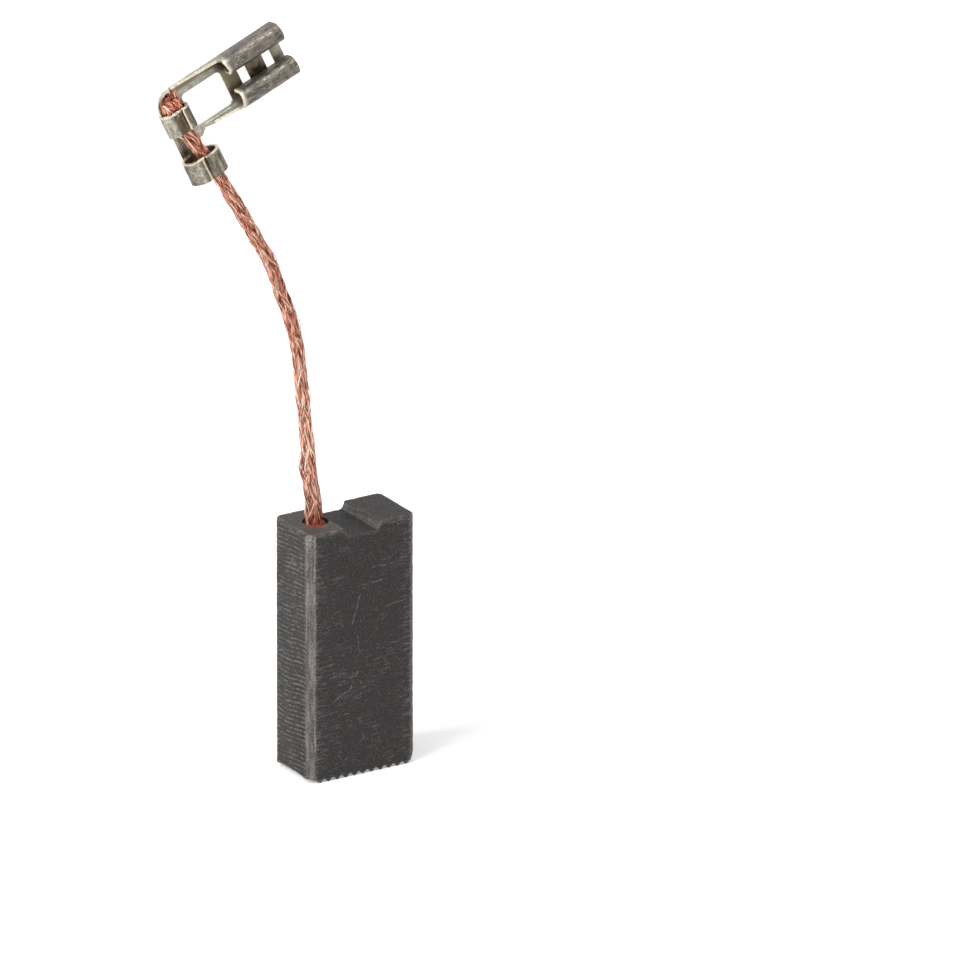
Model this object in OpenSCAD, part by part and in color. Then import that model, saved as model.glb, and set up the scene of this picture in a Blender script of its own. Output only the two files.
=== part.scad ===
// Carbon motor brush with a braided shunt lead and a flag receptacle.
// A copper-graphite block carries current to a commutator through its grooved face. The lead is
// tamped into the block with copper powder, and its far end is crimped in a folded brass terminal.
// Millimetres. Origin at the middle of the contact face's lowest level, X across the wide face,
// Y through the thickness, +Z along the brush towards the spring.

/* [Carbon block] */
// Width of the block, along the commutator's axis
block_w = 12.5; // [10:0.5:20]
// Thickness of the block, around the commutator
block_t = 7; // [5.5:0.5:12]
// Height of the block, from the contact face to the spring end
block_h = 26.4; // [18:0.2:40]
// Chamfer on the four long edges
edge_chamfer = 0.75; // [0.3:0.05:1]
// Chamfer that marks the leaving edge of the contact face
foot_chamfer = 0.65; // [0.2:0.05:1]
// Broken edge round the spring end
top_break = 0.2; // [0.1:0.05:0.4]

/* [Contact face] */
// Radius of the commutator that the face is shaped to
commutator_r = 24; // [16:1:60]
// Number of running-in ridges
ridge_count = 11; // [3:1:11]
// Distance from ridge to ridge
ridge_pitch = 1; // [0.7:0.05:1]
// Height of the ridges
ridge_height = 0.35; // [0.15:0.05:0.5]
// Flat that is left on each crest and in each valley
ridge_flat = 0.2; // [0.1:0.02:0.3]

/* [Spring slot] */
// Width of the slot at the top of the block
slot_w = 4.3; // [3:0.1:5]
// Depth of the slot
slot_depth = 0.9; // [0.5:0.1:2]
// How far each wall leans in by the time it reaches the fillet
slot_lean = 0.25; // [0:0.05:0.4]
// Fillet between the wall and the floor of the slot
slot_fillet = 0.4; // [0.1:0.05:0.5]

/* [Lead hole] */
// Diameter of the hole that the lead is tamped into
hole_d = 2.6; // [2.2:0.05:3]
// Distance of the hole's axis from the narrow face
hole_inset = 2.85; // [2.4:0.05:3.4]
// Depth of the hole below the spring end
hole_depth = 7.5; // [5:0.5:12]
// How far the tamped powder stays below the spring end
powder_recess = 0.3; // [0.2:0.1:0.9]

/* [Shunt lead] */
// Diameter of the braided copper lead
lead_d = 1.6; // [1.2:0.1:1.8]

/* [Terminal sheet] */
// Thickness of the tinned brass sheet
sheet_t = 0.3; // [0.2:0.05:0.4]
// Outside radius of the bends at the foot of each side wall
bend_r = 0.6; // [0.5:0.05:0.9]

/* [Tab receptacle] */
// Width of the flat tab that the receptacle takes
tab_w = 4.8; // [4.2:0.1:6.3]
// Thickness of the flat tab
tab_t = 0.5; // [0.4:0.1:0.8]
// Gap between the tab's flat sides and the sheet
tab_play = 0.08; // [0.03:0.01:0.15]
// Gap between each edge of the tab and the side wall
side_play = 0.2; // [0.1:0.05:0.3]
// Length of the curls that grip the tab
grip_l = 6.6; // [5:0.05:8]
// Outside diameter of each curl
curl_d = 2; // [1.8:0.05:2.3]
// Height of the curls, over the back of the sheet
curl_h = 2.55; // [2.2:0.05:3]
// Length of each opening in the floor, along the tab
vent_l = 0.95; // [0.5:0.05:1.2]
// Width of each opening in the floor, across the tab
vent_w = 3.8; // [3:0.1:4]
// Distance between the middles of the two openings
vent_pitch = 3.05; // [2.4:0.05:3.4]
// Height of the locking dimple on the strip between the openings
dimple_h = 0.2; // [0.1:0.05:0.3]

/* [Web] */
// Length of the window between the crimp and the receptacle
window_l = 4.75; // [3:0.05:6]
// Width of the window
window_w = 3.65; // [2:0.05:3.8]
// Corner radius of the window
window_r = 0.45; // [0.2:0.05:0.8]
// Floor that is left between the window and the curls, where the flanges roll into them
bridge_l = 0.4; // [0.3:0.1:2]
// How far the web sits off the receptacle's middle, towards the lead
web_offset = 0.45; // [0:0.05:0.6]

/* [Crimps] */
// Width of the conductor crimp
crimp_w = 3.25; // [2.8:0.05:3.6]
// Length of the conductor crimp
crimp_l = 2.4; // [2:0.1:3]
// Width of the support crimp
ring_w = 4.1; // [3.6:0.05:4.4]
// Height of the support crimp
ring_h = 2.9; // [2.6:0.1:3.6]
// Length of the support crimp
ring_l = 2.45; // [1.8:0.05:3]
// Length of the open channel between the two crimps
channel_l = 2.95; // [2:0.05:4]
// How far the support crimp sits towards the receptacle
ring_shift = 0.4; // [0:0.05:0.5]
// Play between the lead and the conductor crimp
crimp_play = 0.08; // [0.04:0.01:0.15]
// Width of the seam where the two wings of a crimp meet
seam_w = 0.08; // [0.05:0.01:0.15]

/* [Hidden] */
$fn = 48;
overcut = 1;                                    // how far a cutter runs past the surface it cuts

// The contact face is turned by a former whose axis lies along X, below the block.
former_z = -sqrt(pow(commutator_r, 2) - pow(block_t / 2, 2));
former_r = commutator_r + ridge_height;

// The lead's hole, its floor and the lead's foot.
hole_x = hole_inset - block_w / 2;
hole_floor = block_h - hole_depth;
lead_foot = 1.5;                                // powder left under the lead
lead_sides = 8;

// The terminal's own frame: X towards the mouth, Y towards the lead's cut end, Z up from the
// sheet's back face. Its origin is where the barrel's axis crosses the middle of the web.
terminal_at = [-18.7, 2, 71.6];
terminal_turn = [78, -21, 1.5];

// The receptacle and its web.
side_y = tab_w / 2 + side_play + sheet_t;       // outer face of a side wall
curl_r = curl_d / 2;
curl_y = side_y - curl_r;                       // axis of a curl
curl_z = curl_h - curl_r;
lip_z = sheet_t + tab_t + tab_play;             // free edge of a curl, just over the tab
window_x = crimp_w / 2 + 0.1;
bridge_x = window_x + window_l;
grip_x = bridge_x + bridge_l;
mouth_x = grip_x + grip_l;
vent_x = grip_x + grip_l / 2 + 0.05;            // middle of the strip between the openings
dimple_r = 1.6;                                 // radius of the locking dimple's dome
roll_r = 0.4;                                   // corner between a flange's edge and its curl
flange_x = window_x + 0.9;                      // where the flange beside the lead starts
flange_h = 1.3;                                 // height of both flanges just before the curls
web_low = -side_y - web_offset - 0.1;           // edge of the web beside the lead
web_run = 0.6;                                  // how far that edge slants up to its flange

// The crimp barrel.
crimp_h = lead_d + 2 * (crimp_play + sheet_t);
crimp_y = -1.5;                                 // end of the conductor crimp towards the channel
corner_r = 1.7;                                 // outer corner of the sheet beside the cut end
rim_h = 0.7;                                    // height of the low rim round that corner
rim_inset = 0.1;                                // how far the rim stands inside the flange's line
corner_x = corner_r - crimp_w / 2 + sheet_t + rim_inset;
corner_y = side_y - rim_inset - corner_r;
notch_x = 0.9;                                  // relief notch between the rim and the flange
notch_w = 0.2;
waist = 0.3;                                    // what the channel lacks on the far side from the tab
channel_h = 0.45;                               // height of the open channel's edges
crimp_seam = 0.35;                              // seam of the conductor crimp, from its middle
ring_seam = -0.2;                               // seam of the support crimp, from its middle
dip_w = 0.65;                                   // one wing dips over this width at the seam,
dip_h = 0.2;                                    // so that the other wing's edge stands proud
ring_y = crimp_y - channel_l;                   // start of the support crimp
tail_y = ring_y - ring_l;

// Route of the lead's centreline, from its foot in the block to its cut end past the crimp.
lead_route = [
    [-3.6, 0, 20.4], [-3.6, 0, 23.4], [-3.6, 0, 26], [-3.6, 0, 27.4], [-3.7, 0, 29],
    [-4, 0, 31], [-4.2, 0, 33.8], [-4.5, 0, 36.4], [-4.8, -0.1, 39], [-5.2, -0.2, 42],
    [-5.5, -0.2, 45], [-6.3, -0.3, 48], [-7.6, -0.4, 51.6], [-9, -0.6, 55.1],
    [-10.9, -0.8, 58.5], [-12.8, -1.1, 61.7], [-14.3, -1.2, 64.2], [-15.4, -0.9, 66.1],
    [-16, -0.7, 67.1], [-16.6, -0.4, 68.1], [-17.3, 0, 68.9], [-17.8, 0.3, 69.8],
    [-18.2, 0.5, 70.5], [-18.7, 0.8, 71.6], [-19.1, 1, 72.7], [-19.4, 1.2, 73.6]
];

// Points of an arc, from one angle to another.
function arc(centre, r, from, to, steps = 6) =
    [for (i = [0:steps]) centre + r * [cos(from + (to - from) * i / steps),
                                       sin(from + (to - from) * i / steps)]];

function unit(v) = v / norm(v);

// ---- carbon block ----

// Outline of the block seen along Z: a rectangle with its four long edges chamfered.
module plan_outline() {
    x = block_w / 2;
    y = block_t / 2;
    c = edge_chamfer;
    polygon([[-x + c, -y], [x - c, -y], [x, -y + c], [x, y - c],
             [x - c, y], [-x + c, y], [-x, y - c], [-x, -y + c]]);
}

// Outline seen along Y: the foot's chamfer and the broken top edges.
module front_outline() {
    x = block_w / 2;
    polygon([[-x, -overcut], [x - foot_chamfer - overcut, -overcut],
             [x, foot_chamfer + ridge_height], [x, block_h - top_break],
             [x - top_break, block_h], [-x + top_break, block_h], [-x, block_h - top_break]]);
}

// Outline seen along X: the broken top edges.
module side_outline() {
    y = block_t / 2;
    polygon([[-y, -overcut], [y, -overcut], [y, block_h - top_break],
             [y - top_break, block_h], [-y + top_break, block_h], [-y, block_h - top_break]]);
}

// The former: a grooved roller whose crests press the valleys and whose grooves leave the ridges.
module former() {
    half = ridge_count * ridge_pitch / 2;
    crest = ridge_flat / 2;
    end = block_w / 2 + overcut;
    ridges = [for (i = [0:ridge_count - 1])
        let (x = (i + 0.5) * ridge_pitch - half)
        each [[former_r, x - ridge_pitch / 2 + crest], [commutator_r, x - crest],
              [commutator_r, x + crest], [former_r, x + ridge_pitch / 2 - crest]]];
    translate([0, 0, former_z]) rotate([0, 90, 0])
        rotate_extrude($fn = 240)
            polygon(concat([[0, -end], [former_r, -end]], ridges, [[former_r, end], [0, end]]));
}

// Cross-section of the spring slot, with leaning walls and filleted foot.
module slot_outline() {
    top = slot_w / 2;
    foot = top - slot_lean;
    f = slot_fillet;
    polygon(concat(
        [[-top - slot_lean * overcut / slot_depth, overcut]],
        arc([-foot + f, -slot_depth + f], f, 180, 270),
        arc([foot - f, -slot_depth + f], f, 270, 360),
        [[top + slot_lean * overcut / slot_depth, overcut]]));
}

module lead_hole(top) {
    translate([hole_x, 0, hole_floor]) cylinder(d = hole_d, h = top - hole_floor);
}

module carbon_block() color("#45423f")
    difference() {
        intersection() {
            translate([0, 0, -overcut]) linear_extrude(block_h + 2 * overcut) plan_outline();
            translate([0, block_t, 0]) rotate([90, 0, 0])
                linear_extrude(2 * block_t) front_outline();
            translate([-block_w, 0, 0]) rotate([90, 0, 90])
                linear_extrude(2 * block_w) side_outline();
        }
        former();
        translate([0, block_t, block_h]) rotate([90, 0, 0])
            linear_extrude(2 * block_t) slot_outline();
        lead_hole(block_h + overcut);
    }

// ---- tamping plug ----

// Copper powder rammed round the lead: it fills the hole and stops just short of the top.
module tamping_plug() color("#a8533a")
    difference() {
        lead_hole(block_h - powder_recess);
        translate([lead_route[0].x, 0, hole_floor + lead_foot])
            cylinder(d = lead_d, h = hole_depth, $fn = lead_sides);
    }

// ---- shunt lead ----

// Direction of the route at one of its points.
function heading(i) =
    let (last = len(lead_route) - 1)
    unit(lead_route[min(i + 1, last)] - lead_route[max(i - 1, 0)]);

// One ring of the tube, square to the route.
function ring(i) =
    let (t = heading(i), across = unit(cross([0, 1, 0], t)), up = cross(t, across))
    [for (k = [0:lead_sides - 1])
        let (a = 360 * k / lead_sides)
        lead_route[i] + lead_d / 2 * (cos(a) * across + sin(a) * up)];

module shunt_lead() color("#c8825f") {
    n = len(lead_route);
    s = lead_sides;
    polyhedron(
        points = [for (i = [0:n - 1]) each ring(i)],
        faces = concat(
            [[for (k = [0:s - 1]) k]],
            [for (i = [0:n - 2], k = [0:s - 1])
                [i * s + k, (i + 1) * s + k, (i + 1) * s + (k + 1) % s, i * s + (k + 1) % s]],
            [[for (k = [s - 1:-1:0]) (n - 1) * s + k]]),
        convexity = 4);
}

// ---- terminal ----

// Half of a folded side seen along the sheet: bend and wall, up to a height, with the wall's
// outer face at u = edge.
module side_wall(edge, height) {
    intersection() {
        translate([edge - bend_r, bend_r]) difference() {
            circle(bend_r);
            circle(bend_r - sheet_t);
        }
        translate([edge - bend_r, 0]) square([bend_r, min(bend_r, height)]);
    }
    if (height > bend_r)
        translate([edge - sheet_t, bend_r]) square([sheet_t, height - bend_r]);
}

// A curl's section: the side wall rolls over and its free edge comes down on the tab.
module curl_section() {
    side_wall(side_y, curl_z);
    translate([curl_y, curl_z]) intersection() {
        difference() {
            circle(curl_r);
            circle(curl_r - sheet_t);
        }
        translate([-curl_r, 0]) square([2 * curl_r, curl_r]);
    }
    translate([curl_y - curl_r, lip_z]) square([sheet_t, curl_z - lip_z]);
}

// Sweeps over the part of a curl that is cut away at its inner end, so that the sheet's edge runs
// obliquely from the flange over the crest to the lip.
module curl_end()
    translate([0, 0, sheet_t]) linear_extrude(curl_h)
        polygon([[bridge_x - overcut, 0], [grip_x, 0], [grip_x, curl_y - curl_r],
                 [bridge_x, side_y - bend_r / 2], [bridge_x - overcut, side_y - bend_r / 2]]);

// Extrudes a section drawn in (y, z) along X, from one place to another.
module along_x(from, to)
    translate([from, 0, 0]) rotate([90, 0, 90]) linear_extrude(to - from) children();

// Extrudes a section drawn in (x, z) along Y, from one place to another.
module along_y(from, to)
    translate([0, to, 0]) rotate([90, 0, 0]) linear_extrude(to - from) children();

module both_sides() {
    children();
    mirror([0, 1, 0]) children();
}

// Floor of the receptacle with its two openings.
module receptacle_floor()
    difference() {
        translate([bridge_x, -side_y + bend_r, 0])
            cube([mouth_x - bridge_x, 2 * (side_y - bend_r), sheet_t]);
        for (side = [-1, 1])
            translate([vent_x + side * vent_pitch / 2, 0, sheet_t / 2])
                cube([vent_l, vent_w, 2 * sheet_t], center = true);
    }

// A side flange that runs into the curl, cut to the outline that its children give in (x, z).
module flange(from)
    intersection() {
        along_x(from, bridge_x) {
            side_wall(side_y, curl_z);
            translate([curl_y, curl_z]) intersection() {
                difference() {
                    circle(curl_r);
                    circle(curl_r - sheet_t);
                }
                square(curl_r);
            }
        }
        along_y(0, side_y) children();
    }

// Outline of a flange in (x, z): from its start, past the end of its low part, to the curl.
function flange_outline(start, low_end) =
    concat([[start.x, 0], start, low_end],
           arc([bridge_x - roll_r, flange_h + roll_r], roll_r, 270, 360), [[bridge_x, 0]]);

// The low rim that follows the sheet's rounded corner from the crimp to the notch.
module corner_rim() {
    translate([corner_x, corner_y, 0]) rotate(90) rotate_extrude(angle = 90)
        side_wall(corner_r, rim_h);
    translate([corner_x - corner_r, 0, 0]) mirror([1, 0, 0])
        along_y(crimp_y + crimp_l, corner_y) side_wall(0, rim_h);
    along_x(corner_x, notch_x - notch_w) side_wall(corner_y + corner_r, rim_h);
}

// Flat outline of the web, from the barrel to the bridge.
module web_outline() {
    top = side_y - bend_r;
    inner_r = corner_r - bend_r;
    left = corner_x - inner_r;
    rim_top = corner_y + inner_r;
    difference() {
        union() {
            polygon([[left, corner_y], [left, 0], [0, web_low + corner_r], [0, web_low],
                     [flange_x - web_run, web_low], [flange_x, -side_y], [flange_x, -top],
                     [bridge_x, -top], [bridge_x, top], [notch_x, top], [notch_x, rim_top],
                     [corner_x, rim_top], [corner_x, corner_y]]);
            translate([corner_x, corner_y]) circle(inner_r);
        }
        translate([window_x, -web_offset - window_w / 2]) window_outline();
    }
}

// Outline of the window, with rounded corners.
module window_outline() {
    r = window_r;
    polygon(concat(arc([r, r], r, 180, 270), arc([window_l - r, r], r, 270, 360),
                   arc([window_l - r, window_w - r], r, 0, 90),
                   arc([r, window_w - r], r, 90, 180)));
}

// Outline of a closed crimp: two round sides with a flat between them.
module oval(w, h) {
    for (side = [-1, 1])
        translate([side * (w - h) / 2, 0]) circle(d = h);
    square([w - h, h], center = true);
}

// Section of the sheet wrapped into a closed crimp.
module wrapped_sheet(w, h)
    difference() {
        translate([0, h / 2]) oval(w, h);
        translate([0, h / 2]) oval(w - 2 * sheet_t, h - 2 * sheet_t);
    }

// A crimp: both wings folded over the lead until they meet in a seam, where one wing dips.
module crimp(w, h, seam)
    difference() {
        wrapped_sheet(w, h);
        translate([seam, h / 2]) square([seam_w, h]);
        translate([seam, h]) polygon([[-dip_w, 0], [seam_w, -dip_h], [seam_w, overcut],
                                      [-dip_w, overcut]]);
    }

// Locking dimple: a shallow dome pressed up from the back of the strip between the openings.
module dimple(r)
    translate([vent_x, 0, sheet_t + dimple_h - dimple_r]) sphere(r);

module terminal() color("#a19e8f")
    translate(terminal_at) rotate(terminal_turn) {
        difference() {
            union() {
                receptacle_floor();
                intersection() {
                    dimple(dimple_r);
                    translate([vent_x, 0, sheet_t]) cube([vent_pitch - vent_l, tab_w, sheet_t],
                                                         center = true);
                }
            }
            dimple(dimple_r - sheet_t);
        }
        linear_extrude(sheet_t) web_outline();
        both_sides() difference() {
            along_x(bridge_x, mouth_x) curl_section();
            curl_end();
        }
        flange(notch_x) polygon(flange_outline([notch_x, rim_h], [window_x, rim_h]));
        mirror([0, 1, 0]) flange(flange_x)
            polygon(flange_outline([flange_x, sheet_t], [flange_x + 1, rim_h]));
        corner_rim();
        along_y(crimp_y, crimp_y + crimp_l) crimp(crimp_w, crimp_h, crimp_seam);
        along_y(tail_y, ring_y) translate([ring_shift, 0]) crimp(ring_w, ring_h, ring_seam);
        along_y(ring_y, crimp_y) intersection() {
            translate([waist / 2, 0]) wrapped_sheet(crimp_w - waist, crimp_h);
            translate([-crimp_w, 0]) square([2 * crimp_w, channel_h]);
        }
    }

carbon_block();
tamping_plug();
shunt_lead();
terminal();
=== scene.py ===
# %% [markdown]
# # Carbon motor brush
# A carbon brush is a block of pressed carbon and graphite that slides on a motor's commutator. Its
# current comes through a braided copper lead, tamped into the block at one end and crimped in a
# tinned brass receptacle at the other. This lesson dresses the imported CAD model: it takes each CAD
# solid as the frame, and gives it the edges, tool marks, strands and finishes of the real thing.

# %% Load the CAD model
import math

import bmesh
import bpy
import numpy as np
from mathutils import Matrix, Vector, noise
from mathutils.bvhtree import BVHTree
from mathutils.kdtree import KDTree


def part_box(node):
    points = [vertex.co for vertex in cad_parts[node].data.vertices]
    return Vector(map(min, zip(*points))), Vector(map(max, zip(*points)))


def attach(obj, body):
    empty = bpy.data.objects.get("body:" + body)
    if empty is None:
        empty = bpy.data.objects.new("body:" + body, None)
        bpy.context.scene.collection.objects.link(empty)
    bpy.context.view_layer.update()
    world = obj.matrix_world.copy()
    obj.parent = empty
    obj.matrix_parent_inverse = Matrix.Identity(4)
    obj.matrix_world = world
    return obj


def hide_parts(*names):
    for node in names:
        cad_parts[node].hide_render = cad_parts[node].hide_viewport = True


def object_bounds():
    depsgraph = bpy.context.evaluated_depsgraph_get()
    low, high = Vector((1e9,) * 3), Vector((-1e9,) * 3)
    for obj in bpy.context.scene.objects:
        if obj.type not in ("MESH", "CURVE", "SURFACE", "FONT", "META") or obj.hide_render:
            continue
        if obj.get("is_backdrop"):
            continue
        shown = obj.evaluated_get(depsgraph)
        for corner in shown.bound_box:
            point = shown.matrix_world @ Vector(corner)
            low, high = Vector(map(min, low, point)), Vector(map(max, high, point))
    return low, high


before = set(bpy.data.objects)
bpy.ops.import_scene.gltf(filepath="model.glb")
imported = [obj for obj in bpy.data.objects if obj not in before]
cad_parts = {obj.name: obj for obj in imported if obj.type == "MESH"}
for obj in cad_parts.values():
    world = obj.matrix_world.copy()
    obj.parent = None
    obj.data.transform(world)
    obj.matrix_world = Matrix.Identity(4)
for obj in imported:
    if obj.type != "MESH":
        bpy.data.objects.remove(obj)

MM = 0.001
scene = bpy.context.scene
cad_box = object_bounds()
print("CAD nodes:", ", ".join(sorted(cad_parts)))

# %% [markdown]
# ## The camera
# The brush stands on its contact face. It is seen from in front of a wide face, turned towards a
# narrow one, and a little from above. A very long lens, far away, keeps upright edges parallel, as a
# catalogue picture of a small part does. A lens shift could place the brush in the picture, but the
# camera is aimed beside it instead, which keeps other views true.

# %% Camera
AZIMUTH, ELEVATION = math.radians(-31.6), math.radians(21.3)
CAMERA_DISTANCE, SENSOR = 4.3, 36        # metres, and millimetres
VIEW_WIDTH = 95.05 * MM                  # width of the view where the camera is aimed
AIM = Vector((14.3, -2.3, 27.9)) * MM

back = Vector((math.sin(AZIMUTH) * math.cos(ELEVATION),
               -math.cos(AZIMUTH) * math.cos(ELEVATION), math.sin(ELEVATION)))
camera = bpy.data.objects.new("camera", bpy.data.cameras.new("camera"))
scene.collection.objects.link(camera)
camera.location = AIM + back * CAMERA_DISTANCE
camera.rotation_mode = "QUATERNION"
camera.rotation_quaternion = (-back).to_track_quat("-Z", "Y")
camera.data.sensor_width = SENSOR
camera.data.lens = SENSOR * CAMERA_DISTANCE / VIEW_WIDTH
scene.camera = camera
print(f"lens {camera.data.lens:.0f} mm")

# %% [markdown]
# ## The lead's route
# A stiff braid keeps the bend that the last handling gave it, so its route is a list of points and
# not a simulation. The points are those of the CAD lead. A curve that passes through all of them
# (Catmull-Rom) rounds the corners, and is then cut into even steps, because the braid's pattern
# has to advance evenly along the lead.

# %% Route of the lead
LEAD_ROUTE = [
    (-3.6, 0, 20.4), (-3.6, 0, 23.4), (-3.6, 0, 26), (-3.6, 0, 27.4), (-3.7, 0, 29),
    (-4, 0, 31), (-4.2, 0, 33.8), (-4.5, 0, 36.4), (-4.8, -0.1, 39), (-5.2, -0.2, 42),
    (-5.5, -0.2, 45), (-6.3, -0.3, 48), (-7.6, -0.4, 51.6), (-9, -0.6, 55.1),
    (-10.9, -0.8, 58.5), (-12.8, -1.1, 61.7), (-14.3, -1.2, 64.2), (-15.4, -0.9, 66.1),
    (-16, -0.7, 67.1), (-16.6, -0.4, 68.1), (-17.3, 0, 68.9), (-17.8, 0.3, 69.8),
    (-18.2, 0.5, 70.5), (-18.7, 0.8, 71.6), (-19.1, 1, 72.7), (-19.4, 1.2, 73.6)]
LEAD_STEP = 0.4                          # millimetres from ring to ring


def through(points, samples=24):
    """A smooth line through all the points."""
    p = np.array(points, float)
    p = np.vstack([2 * p[0] - p[1], p, 2 * p[-1] - p[-2]])
    t = np.linspace(0, 1, samples, endpoint=False)[:, None]
    parts = []
    for a, b, c, d in zip(p[:-3], p[1:-2], p[2:-1], p[3:]):
        parts.append(0.5 * (2 * b + (c - a) * t + (2 * a - 5 * b + 4 * c - d) * t ** 2
                            + (3 * b - a - 3 * c + d) * t ** 3))
    return np.vstack(parts + [p[-2:-1]])


def evenly(line, step):
    """The line again, with points one step apart."""
    along = np.concatenate([[0], np.cumsum(np.linalg.norm(np.diff(line, axis=0), axis=1))])
    at = np.linspace(0, along[-1], round(along[-1] / step) + 1)
    return at, np.stack([np.interp(at, along, line[:, k]) for k in range(3)], axis=1)


def unit(v):
    """Vectors of length one, in the same directions."""
    return v / np.linalg.norm(v, axis=-1, keepdims=True)


along, lead_line = evenly(through(LEAD_ROUTE), LEAD_STEP)
lead_end = along[-1]
print(f"lead: {lead_end:.1f} mm of centreline, {len(along)} rings")

# %% [markdown]
# ## The terminal's own axes
# The terminal hangs at an angle in the air. Its pieces are easier to describe in its own frame: X
# towards the mouth, Y towards the lead's cut end, Z up from the sheet's back. One matrix takes
# places from that frame to the brush's, and its inverse takes them back.

# %% Axes of the terminal
TERMINAL_AT = Vector((-18.7, 2, 71.6))
TERMINAL_TURN = [math.radians(a) for a in (78, -21, 1.5)]
turn = Matrix.Rotation(TERMINAL_TURN[2], 3, "Z") @ Matrix.Rotation(TERMINAL_TURN[1], 3, "Y") \
    @ Matrix.Rotation(TERMINAL_TURN[0], 3, "X")
term_x, term_y, term_z = (np.array(turn.col[k]) for k in range(3))


def to_terminal(points):
    """Millimetre points of the brush's frame, in the terminal's frame."""
    return (np.asarray(points, float) - np.array(TERMINAL_AT)) @ np.array(turn)


def from_terminal(points):
    """Millimetre points of the terminal's frame, in the brush's frame."""
    return np.asarray(points, float) @ np.array(turn).T + np.array(TERMINAL_AT)


print("the mouth looks along", [round(float(c), 3) for c in term_x])


# %% [markdown]
# ## Floor and light
# The brush stands on a plain white floor in soft studio light: a large lamp at the left, a weak one
# at the right, one above, and an even world. What the camera, reflections and see-through rays find
# behind the brush is plain white of strength 1. The lamps stay at a level where the colours of the
# materials render about as they are written.

# %% World
WORLD_LIGHT = 0.4


def light_and_view(nodes, links, light, view, output):
    """Gives rays that carry light one shader, and camera, mirror and glass rays the other."""
    rays = nodes.new("ShaderNodeLightPath")
    seen = rays.outputs["Is Camera Ray"]
    for name in ("Is Glossy Ray", "Is Transmission Ray"):
        add = nodes.new("ShaderNodeMath")
        add.operation, add.use_clamp = "ADD", True
        links.new(seen, add.inputs[0])
        links.new(rays.outputs[name], add.inputs[1])
        seen = add.outputs[0]
    choose = nodes.new("ShaderNodeMixShader")
    for k, source in enumerate((seen, light.outputs[0], view.outputs[0])):
        links.new(source, choose.inputs[k])
    links.new(choose.outputs[0], output.inputs[0])


world = bpy.data.worlds.new("studio")
world.use_nodes = True
scene.world = world
nodes, links = world.node_tree.nodes, world.node_tree.links
nodes.clear()
even, white = nodes.new("ShaderNodeBackground"), nodes.new("ShaderNodeBackground")
even.inputs["Strength"].default_value = WORLD_LIGHT
for background in (even, white):
    background.inputs["Color"].default_value = (1, 1, 1, 1)
light_and_view(nodes, links, even, white, nodes.new("ShaderNodeOutputWorld"))
print(f"world: {WORLD_LIGHT} as light, 1 as seen")

# %% Floor
FLOOR_PAINT = 0.8
FLOOR_LIFT = 0.3                         # how much of its white doesn't depend on the lamps

floor_white = bpy.data.materials.new("floor_white")
floor_white.use_nodes = True
nodes, links = floor_white.node_tree.nodes, floor_white.node_tree.links
nodes.clear()
paint, lift = nodes.new("ShaderNodeBsdfDiffuse"), nodes.new("ShaderNodeEmission")
paint.inputs["Color"].default_value = (FLOOR_PAINT, FLOOR_PAINT, FLOOR_PAINT, 1)
lift.inputs["Strength"].default_value = FLOOR_LIFT
lifted = nodes.new("ShaderNodeAddShader")
links.new(paint.outputs[0], lifted.inputs[0])
links.new(lift.outputs[0], lifted.inputs[1])
light_and_view(nodes, links, paint, lifted, nodes.new("ShaderNodeOutputMaterial"))

bm = bmesh.new()
bmesh.ops.create_grid(bm, x_segments=1, y_segments=1, size=1.5)
floor = bpy.data.objects.new("floor", bpy.data.meshes.new("floor"))
bm.to_mesh(floor.data)
bm.free()
floor.data.materials.append(floor_white)
scene.collection.objects.link(floor)
floor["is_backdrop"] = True
print("floor:", [round(d, 2) for d in floor.dimensions], "m")

# %% Lamps


def lamp(name, azimuth, elevation, distance, size, watts):
    """A square soft lamp that looks at the middle of the brush."""
    middle = (cad_box[0] + cad_box[1]) / 2
    a, e = math.radians(azimuth), math.radians(elevation)
    way = Vector((math.sin(a) * math.cos(e), -math.cos(a) * math.cos(e), math.sin(e)))
    light = bpy.data.objects.new(name, bpy.data.lights.new(name, "AREA"))
    light.data.size, light.data.energy = size, watts
    light.location = middle + way * distance
    light.rotation_mode = "QUATERNION"
    light.rotation_quaternion = (-way).to_track_quat("-Z", "Y")
    scene.collection.objects.link(light)


lamp("key", -82, 38, 0.8, 0.5, 7.5)
lamp("fill", 45, 25, 0.9, 0.7, 1.2)
lamp("top", 20, 80, 0.9, 0.6, 3.0)
scene.view_settings.view_transform = "Standard"

# %% [markdown]
# ## A small kit for materials
# A material is a graph of nodes. Writing each node out takes five lines, so a short class holds the
# graph and offers the few kinds of node that the finishes use. All patterns read Object
# coordinates, scaled to millimetres, so that the grain has its true size on every piece.

# %% Material kit


def linear(red, green, blue):
    """A colour as it looks on a screen, 0 to 255, as the linear values that shaders take."""
    return tuple((c / 255 / 12.92 if c <= 10 else ((c / 255 + 0.055) / 1.055) ** 2.4)
                 for c in (red, green, blue)) + (1,)


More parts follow.
